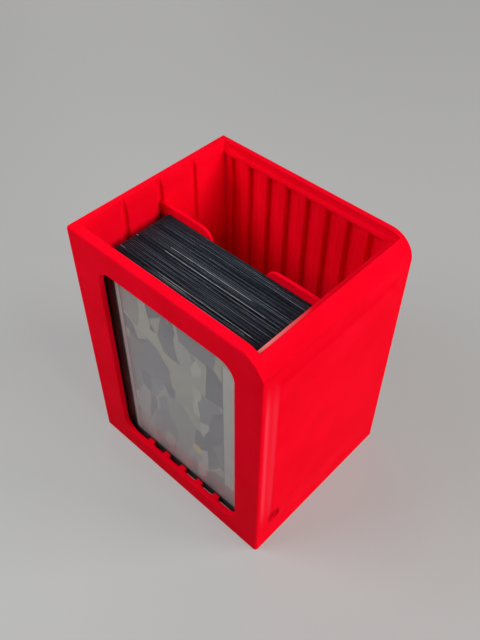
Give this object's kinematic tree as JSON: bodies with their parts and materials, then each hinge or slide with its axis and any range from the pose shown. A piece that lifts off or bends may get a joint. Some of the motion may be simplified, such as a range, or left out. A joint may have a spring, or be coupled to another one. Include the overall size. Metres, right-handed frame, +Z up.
{
  "type": "trading card drawer box",
  "caption": "Open-topped printed box for sleeved trading cards, with a display window, a ribbed rear wall, slots for a loose notched divider, a deck and a displayed card.",
  "frame": {"origin": "centre of the footprint, on the surface that the box stands on", "axes": "+Z up, -Y out of the display window, +X towards the side with the raised panel"},
  "size_m": [0.084, 0.0706, 0.106],
  "materials": {
    "red_print": "satin printed plastic with fine layer lines",
    "sleeve_black": "black card sleeve film, slightly frosted",
    "sleeve_clear": "clear card sleeve film",
    "card_print": null
  },
  "bodies": {
    "box": {"box_shell": "red_print"},
    "divider": {"divider_plate": "red_print"},
    "display_sleeve": {"display_sleeve_front": "sleeve_clear", "display_sleeve_back": "sleeve_black"},
    "display_card": {"display_card": "card_print"},
    "deck_front": {"sleeved_card_01": "sleeve_black", "sleeved_card_02": "sleeve_black", "sleeved_card_03": "sleeve_black", "sleeved_card_04": "sleeve_black", "sleeved_card_05": "sleeve_black", "sleeved_card_06": "sleeve_black", "sleeved_card_07": "sleeve_black", "sleeved_card_08": "sleeve_black", "sleeved_card_09": "sleeve_black", "sleeved_card_10": "sleeve_black", "sleeved_card_11": "sleeve_black", "sleeved_card_12": "sleeve_black", "sleeved_card_13": "sleeve_black", "sleeved_card_14": "sleeve_black", "sleeved_card_15": "sleeve_black", "sleeved_card_16": "sleeve_black", "sleeved_card_17": "sleeve_black", "sleeved_card_18": "sleeve_black", "sleeved_card_19": "sleeve_black", "sleeved_card_20": "sleeve_black", "sleeved_card_21": "sleeve_black", "sleeved_card_22": "sleeve_black", "sleeved_card_23": "sleeve_black", "sleeved_card_24": "sleeve_black", "sleeved_card_25": "sleeve_black", "sleeved_card_26": "sleeve_black", "sleeved_card_27": "sleeve_black", "sleeved_card_28": "sleeve_black", "sleeved_card_29": "sleeve_black", "sleeved_card_30": "sleeve_black", "sleeved_card_31": "sleeve_black", "sleeved_card_32": "sleeve_black", "sleeved_card_33": "sleeve_black", "sleeved_card_34": "sleeve_black", "sleeved_card_35": "sleeve_black", "sleeved_card_36": "sleeve_black", "sleeved_card_37": "sleeve_black", "sleeved_card_38": "sleeve_black", "sleeved_card_39": "sleeve_black", "sleeved_card_40": "sleeve_black", "sleeved_card_41": "sleeve_black", "sleeved_card_42": "sleeve_black"},
    "deck_rear": {"sleeved_card_43": "sleeve_black", "sleeved_card_44": "sleeve_black", "sleeved_card_45": "sleeve_black", "sleeved_card_46": "sleeve_black", "sleeved_card_47": "sleeve_black"}
  },
  "joints": [
    {"name": "divider_lift", "type": "slide", "parent": "box", "child": "divider", "axis": [0, 0, 1], "range_m": [0, 0.105]},
    {"name": "display_sleeve_lift", "type": "slide", "parent": "box", "child": "display_sleeve", "axis": [0, 0, 1], "range_m": [0, 0.105]},
    {"name": "display_card_draw", "type": "slide", "parent": "display_sleeve", "child": "display_card", "axis": [0, 0, 1], "range_m": [0, 0.092]},
    {"name": "deck_front_lift", "type": "slide", "parent": "box", "child": "deck_front", "axis": [0, 0, 1], "range_m": [0, 0.105]},
    {"name": "deck_rear_lift", "type": "slide", "parent": "box", "child": "deck_rear", "axis": [0, 0, 1], "range_m": [0, 0.105]}
  ]
}
